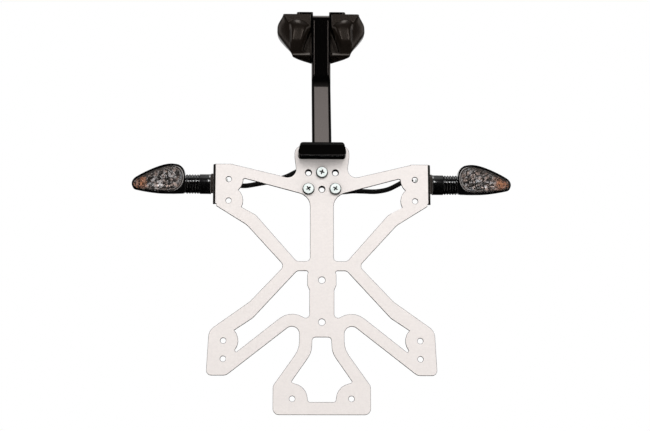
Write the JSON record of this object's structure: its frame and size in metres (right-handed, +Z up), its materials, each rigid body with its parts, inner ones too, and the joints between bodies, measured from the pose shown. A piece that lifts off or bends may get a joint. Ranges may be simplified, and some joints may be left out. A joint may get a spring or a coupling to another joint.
{
  "type": "motorcycle tail tidy",
  "caption": "Folded number plate bracket with lamp and flexible-stem indicators, hung on a folded arm under a moulded tail cover.",
  "frame": {"origin": "middle of the four tail bolt holes, on the mounting plate's top face that meets the bike's tail", "axes": "+X to the right seen from behind, +Y forward along the bike, +Z up; the number plate faces -Y"},
  "size_m": [0.3832, 0.1373, 0.4296],
  "materials": {
    "brushed_bracket": "fine blasted stainless sheet",
    "painted_arm": "satin black powder coat",
    "painted_mount": "satin black powder coat",
    "moulded_cover": "semi-matt black moulding",
    "zinc_fastener": "clear zinc plating",
    "lamp_body": "satin black moulding",
    "lamp_lens": "clear moulded lens",
    "circuit_board": "solder resist",
    "emitter": "clear resin",
    "indicator_shell": "gloss black",
    "smoked_lens": "smoked clear lens",
    "reflector": "vacuum metallised",
    "amber_bulb": "amber glass",
    "holder": "matt",
    "rubber": "satin rubber",
    "pad_rubber": "matt rubber",
    "socket_plastic": "matt",
    "lead_sleeve": "satin sleeve"
  },
  "bodies": {
    "root": {"plate_bracket": "brushed_bracket", "arm": "painted_arm", "mounting_plate": "painted_mount", "tail_cover": "moulded_cover", "arm_bolts": "zinc_fastener", "arm_nuts": "zinc_fastener", "cover_screws": "zinc_fastener", "cover_nuts": "zinc_fastener", "lamp_housing": "lamp_body", "lamp_lens": "lamp_lens", "lamp_board": "circuit_board", "lamp_emitters": "emitter", "lamp_screws": "zinc_fastener", "lamp_grommet": "rubber", "bracket_screws": "zinc_fastener", "bracket_washers": "zinc_fastener", "bracket_nuts": "zinc_fastener", "left_housing": "indicator_shell", "right_housing": "indicator_shell", "left_lens": "smoked_lens", "right_lens": "smoked_lens", "left_reflector": "reflector", "right_reflector": "reflector", "left_bulb": "amber_bulb", "right_bulb": "amber_bulb", "left_bulb_holder": "holder", "right_bulb_holder": "holder", "left_neck": "rubber", "right_neck": "rubber", "left_stem_base": "rubber", "right_stem_base": "rubber", "left_pad": "pad_rubber", "right_pad": "pad_rubber", "left_stud": "zinc_fastener", "right_stud": "zinc_fastener", "left_washer": "zinc_fastener", "right_washer": "zinc_fastener", "left_stud_nut": "zinc_fastener", "right_stud_nut": "zinc_fastener", "lead_socket": "socket_plastic", "left_lead": "lead_sleeve", "right_lead": "lead_sleeve", "lamp_lead": "lead_sleeve"}
  },
  "joints": []
}
